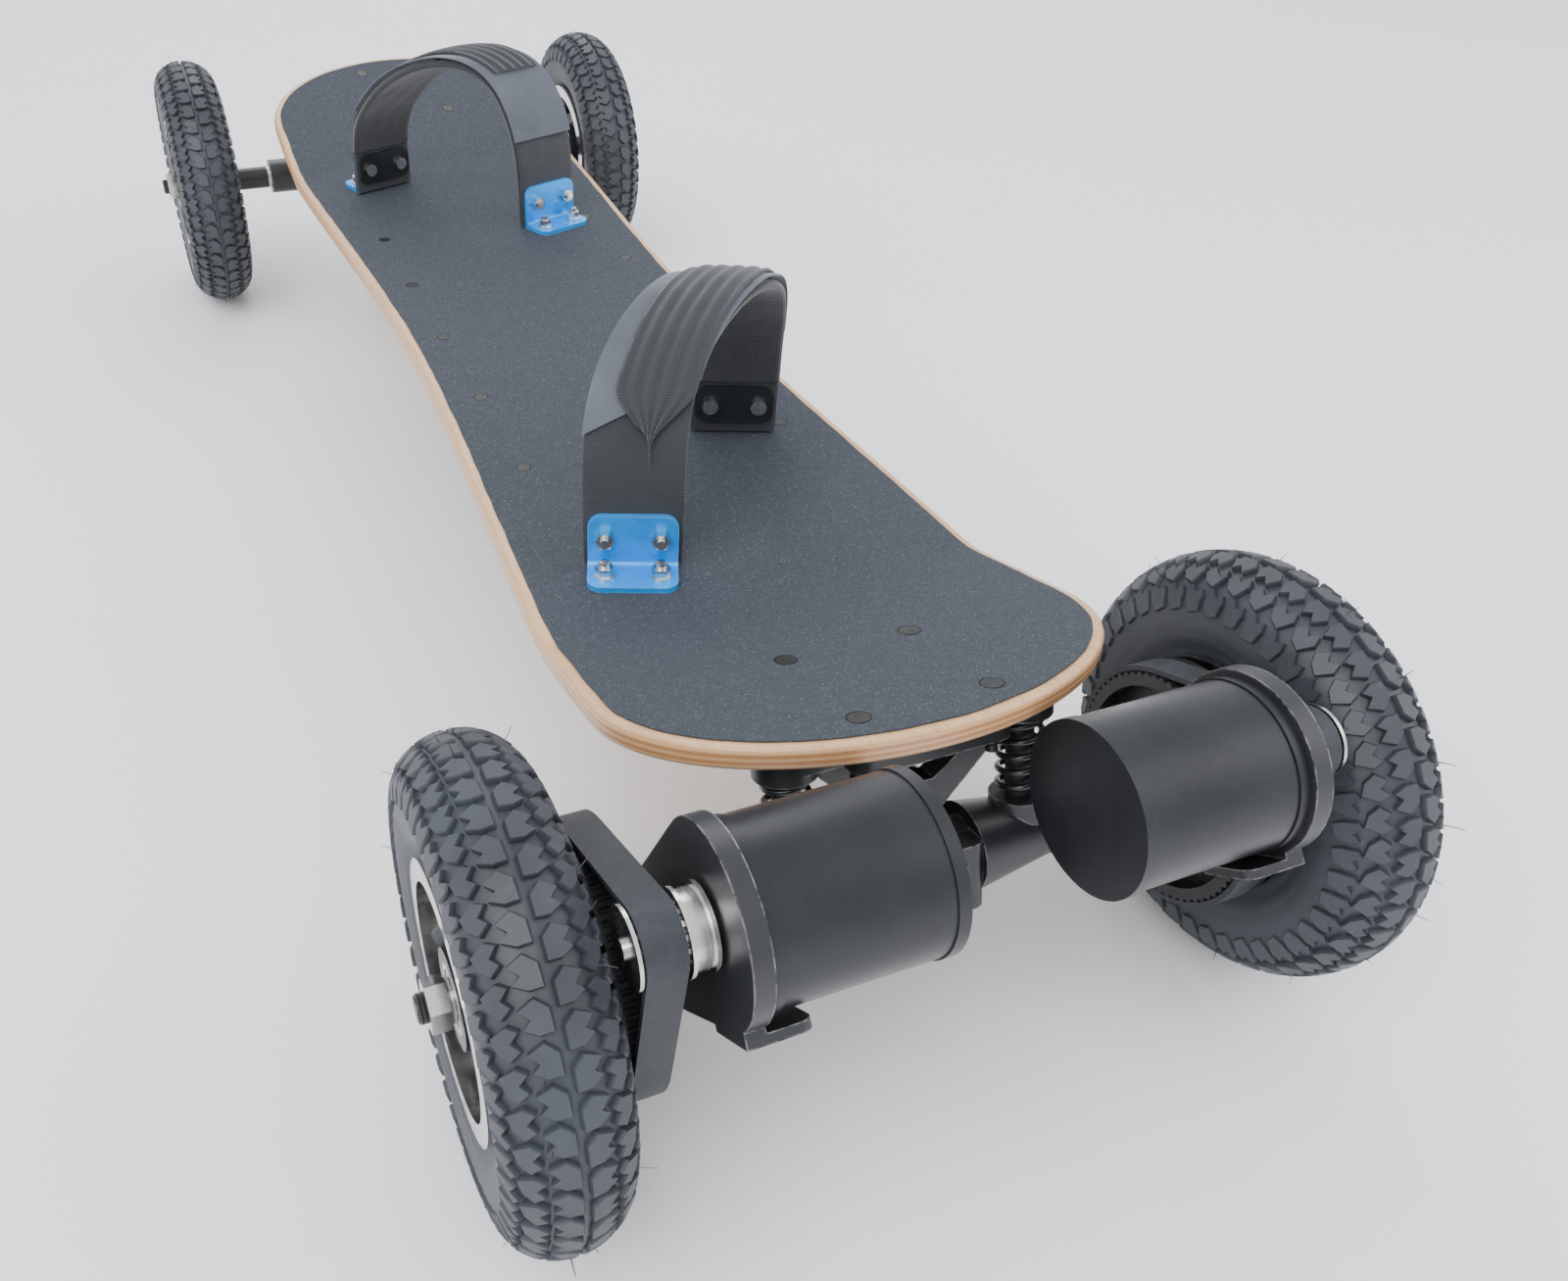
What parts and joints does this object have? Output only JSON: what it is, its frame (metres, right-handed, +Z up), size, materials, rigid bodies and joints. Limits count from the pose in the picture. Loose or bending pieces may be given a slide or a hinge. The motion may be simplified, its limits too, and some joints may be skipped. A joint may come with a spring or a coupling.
{
  "type": "electric skateboard",
  "caption": "All-terrain electric skateboard: kicked ply deck with foot straps, sprung trucks, air-filled wheels and belt drive from motors at the back.",
  "frame": {"origin": "on the floor, midway between the four wheels", "axes": "+Y along the deck to the front, away from the motors; +X to the rider's right; +Z up"},
  "size_m": [0.423, 1.13, 0.265],
  "materials": {
    "maple_ply": "satin varnish, laminated edge",
    "grip_grit": "coarse grit sheet with a faint sparkle",
    "blue_anodised": "bright blue anodised",
    "stainless": "bright zinc or stainless fasteners",
    "strap_webbing": "black padded webbing",
    "box_plastic": "textured black moulding",
    "cell_can": "shrink-wrapped cells",
    "controller_case": "black anodised",
    "truck_black": "black powder coat over a casting",
    "spring_black": "black coated spring wire",
    "damper_rubber": "soft moulded rubber",
    "tyre_rubber": "knobby tyre rubber",
    "tube_rubber": "smooth rubber",
    "rim_black": "black moulded rim",
    "bearing_steel": "ground steel",
    "motor_black": "satin black coat",
    "rotor_steel": "ground steel",
    "pulley_metal": "machined",
    "belt_rubber": "toothed belt, smooth back",
    "pulley_nylon": "black nylon",
    "button_black": "gloss black",
    "socket_black": "gloss black"
  },
  "bodies": {
    "board": {"deck": "maple_ply", "grip_tape": "grip_grit", "strap_brackets": "blue_anodised", "strap_fasteners": "stainless", "strap_rear": "strap_webbing", "strap_front": "strap_webbing", "battery_case": "box_plastic", "battery_case_bolts": "stainless", "battery_cells": "cell_can", "motor_controller": "controller_case", "charge_socket": "socket_black", "rear_baseplate": "truck_black", "rear_pivot_bolt": "stainless", "rear_truck_bolts": "stainless", "rear_springs": "spring_black", "rear_dampers": "damper_rubber", "front_baseplate": "truck_black", "front_pivot_bolt": "stainless", "front_truck_bolts": "stainless", "front_springs": "spring_black", "front_dampers": "damper_rubber"},
    "rear_truck": {"rear_hanger": "truck_black", "rear_axle": "stainless", "rear_axle_nuts": "stainless", "motor_plate_left": "motor_black", "motor_case_left": "motor_black", "drive_belt_left": "belt_rubber", "motor_plate_right": "motor_black", "motor_case_right": "motor_black", "drive_belt_right": "belt_rubber"},
    "front_truck": {"front_hanger": "truck_black", "front_axle": "stainless", "front_axle_nuts": "stainless"},
    "power_button": {"power_button": "button_black"},
    "wheel_rear_left": {"tyre_rear_left": "tyre_rubber", "inner_tube_rear_left": "tube_rubber", "rim_rear_left": "rim_black", "rim_bolts_rear_left": "stainless", "bearings_rear_left": "bearing_steel", "wheel_pulley_left": "pulley_nylon"},
    "wheel_rear_right": {"tyre_rear_right": "tyre_rubber", "inner_tube_rear_right": "tube_rubber", "rim_rear_right": "rim_black", "rim_bolts_rear_right": "stainless", "bearings_rear_right": "bearing_steel", "wheel_pulley_right": "pulley_nylon"},
    "wheel_front_left": {"tyre_front_left": "tyre_rubber", "inner_tube_front_left": "tube_rubber", "rim_front_left": "rim_black", "rim_bolts_front_left": "stainless", "bearings_front_left": "bearing_steel"},
    "wheel_front_right": {"tyre_front_right": "tyre_rubber", "inner_tube_front_right": "tube_rubber", "rim_front_right": "rim_black", "rim_bolts_front_right": "stainless", "bearings_front_right": "bearing_steel"},
    "motor_left": {"motor_rotor_left": "rotor_steel", "motor_pulley_left": "pulley_metal"},
    "motor_right": {"motor_rotor_right": "rotor_steel", "motor_pulley_right": "pulley_metal"}
  },
  "joints": [
    {"name": "rear_truck_lean", "type": "hinge", "parent": "board", "child": "rear_truck", "pos_m": [0, -0.45728, 0.12692], "axis": [0, 0.9613, -0.2756], "range_deg": [-10, 10], "stiffness_Nm_per_rad": 60, "deforming": ["rear_springs", "rear_dampers"]},
    {"name": "front_truck_lean", "type": "hinge", "parent": "board", "child": "front_truck", "pos_m": [0, 0.45728, 0.12692], "axis": [0, -0.9613, -0.2756], "range_deg": [-10, 10], "stiffness_Nm_per_rad": 60, "deforming": ["front_springs", "front_dampers"]},
    {"name": "wheel_rear_left_spin", "type": "hinge", "parent": "rear_truck", "child": "wheel_rear_left", "pos_m": [-0.1775, -0.465, 0.1], "axis": [1, 0, 0], "continuous": true},
    {"name": "wheel_rear_right_spin", "type": "hinge", "parent": "rear_truck", "child": "wheel_rear_right", "pos_m": [0.1775, -0.465, 0.1], "axis": [1, 0, 0], "continuous": true},
    {"name": "wheel_front_left_spin", "type": "hinge", "parent": "front_truck", "child": "wheel_front_left", "pos_m": [-0.1775, 0.465, 0.1], "axis": [1, 0, 0], "continuous": true},
    {"name": "wheel_front_right_spin", "type": "hinge", "parent": "front_truck", "child": "wheel_front_right", "pos_m": [0.1775, 0.465, 0.1], "axis": [1, 0, 0], "continuous": true},
    {"name": "motor_left_spin", "type": "hinge", "parent": "rear_truck", "child": "motor_left", "pos_m": [-0.1, -0.51713, 0.16672], "axis": [1, 0, 0], "continuous": true},
    {"name": "motor_right_spin", "type": "hinge", "parent": "rear_truck", "child": "motor_right", "pos_m": [0.1, -0.51713, 0.16672], "axis": [1, 0, 0], "continuous": true},
    {"name": "power_button_press", "type": "slide", "parent": "board", "child": "power_button", "axis": [1, 0, 0], "range_m": [0, 0.0015], "stiffness_N_per_m": 400}
  ],
  "couplings": [
    {"joint": "motor_left_spin", "follows": "wheel_rear_left_spin", "ratio": 4.25},
    {"joint": "motor_right_spin", "follows": "wheel_rear_right_spin", "ratio": 4.25}
  ]
}
